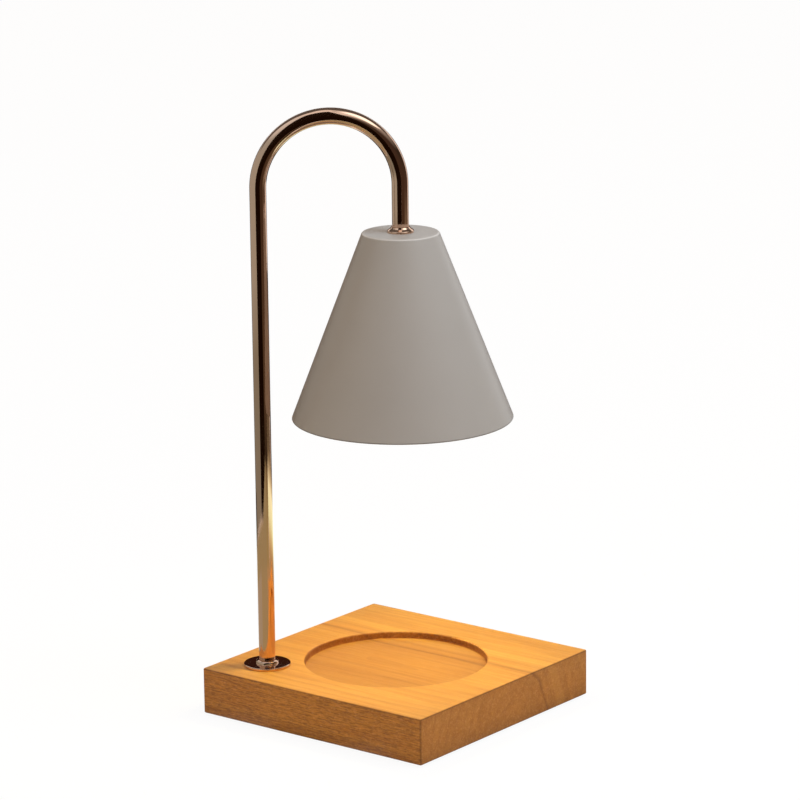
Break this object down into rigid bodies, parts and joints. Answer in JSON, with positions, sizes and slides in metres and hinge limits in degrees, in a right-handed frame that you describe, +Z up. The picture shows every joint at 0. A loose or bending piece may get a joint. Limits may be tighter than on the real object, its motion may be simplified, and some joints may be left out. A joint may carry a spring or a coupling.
{
  "type": "candle warmer lamp",
  "caption": "Square wooden base with a round jar recess, a bent metal tube from its corner and a cone shade with a warming bulb above the recess.",
  "frame": {"origin": "on the floor under the middle of the square base", "axes": "+Z up; +X along the wood's grain; the post stands in the corner at -X -Y and the hook leans over towards +X +Y"},
  "size_m": [0.15, 0.15, 0.3339],
  "materials": {
    "beech": "clear lacquered solid beech, satin",
    "rose_gold_plate": "mirror polished rose gold plating on steel",
    "shade_paint": "matt warm grey powder coat on sheet steel",
    "zinc_steel": "bright zinc plated steel",
    "contact_brass": "plain brass",
    "steatite": "unglazed off-white steatite",
    "bulb_ceramic": "fine white ceramic",
    "mirror_glass": "pressed glass with an aluminium mirror coat",
    "lens_glass": "clear pressed glass",
    "quartz": "clear quartz",
    "tungsten": "drawn tungsten wire",
    "black_rubber": "matt black rubber",
    "black_plastic": "matt black moulded plastic",
    "white_plastic": "natural white polyamide",
    "brown_insulation": "brown lead insulation",
    "blue_insulation": "blue lead insulation"
  },
  "bodies": {
    "lamp": {"base_block": "beech", "base_cover": "black_plastic", "cover_screws": "zinc_steel", "rubber_feet": "black_rubber", "cord_gland": "black_plastic", "terminal_block": "white_plastic", "terminal_barrels": "contact_brass", "terminal_screws": "zinc_steel", "block_screw": "zinc_steel", "foot_flange": "rose_gold_plate", "arm_tube": "rose_gold_plate", "shade_collar": "rose_gold_plate", "lower_nipple": "zinc_steel", "lower_washer": "zinc_steel", "lower_lock_washer": "zinc_steel", "lower_nut": "zinc_steel", "lower_bush": "white_plastic", "upper_nipple": "zinc_steel", "upper_washer": "zinc_steel", "upper_lock_washer": "zinc_steel", "upper_nut": "zinc_steel", "upper_bush": "white_plastic", "shade": "shade_paint", "holder_bracket": "zinc_steel", "lamp_holder": "steatite", "holder_cap": "steatite", "holder_contacts": "contact_brass", "holder_screws": "zinc_steel", "lead_live": "brown_insulation", "lead_neutral": "blue_insulation"},
    "bulb": {"bulb_base": "bulb_ceramic", "bulb_pins": "zinc_steel", "bulb_reflector": "mirror_glass", "bulb_lens": "lens_glass", "bulb_capsule": "quartz", "bulb_filament": "tungsten"}
  },
  "joints": [
    {"name": "bulb_twist", "type": "hinge", "parent": "lamp", "child": "bulb", "pos_m": [0.00374, 0.00374, 0.2], "axis": [0, 0, -1], "range_deg": [0, 45]}
  ]
}
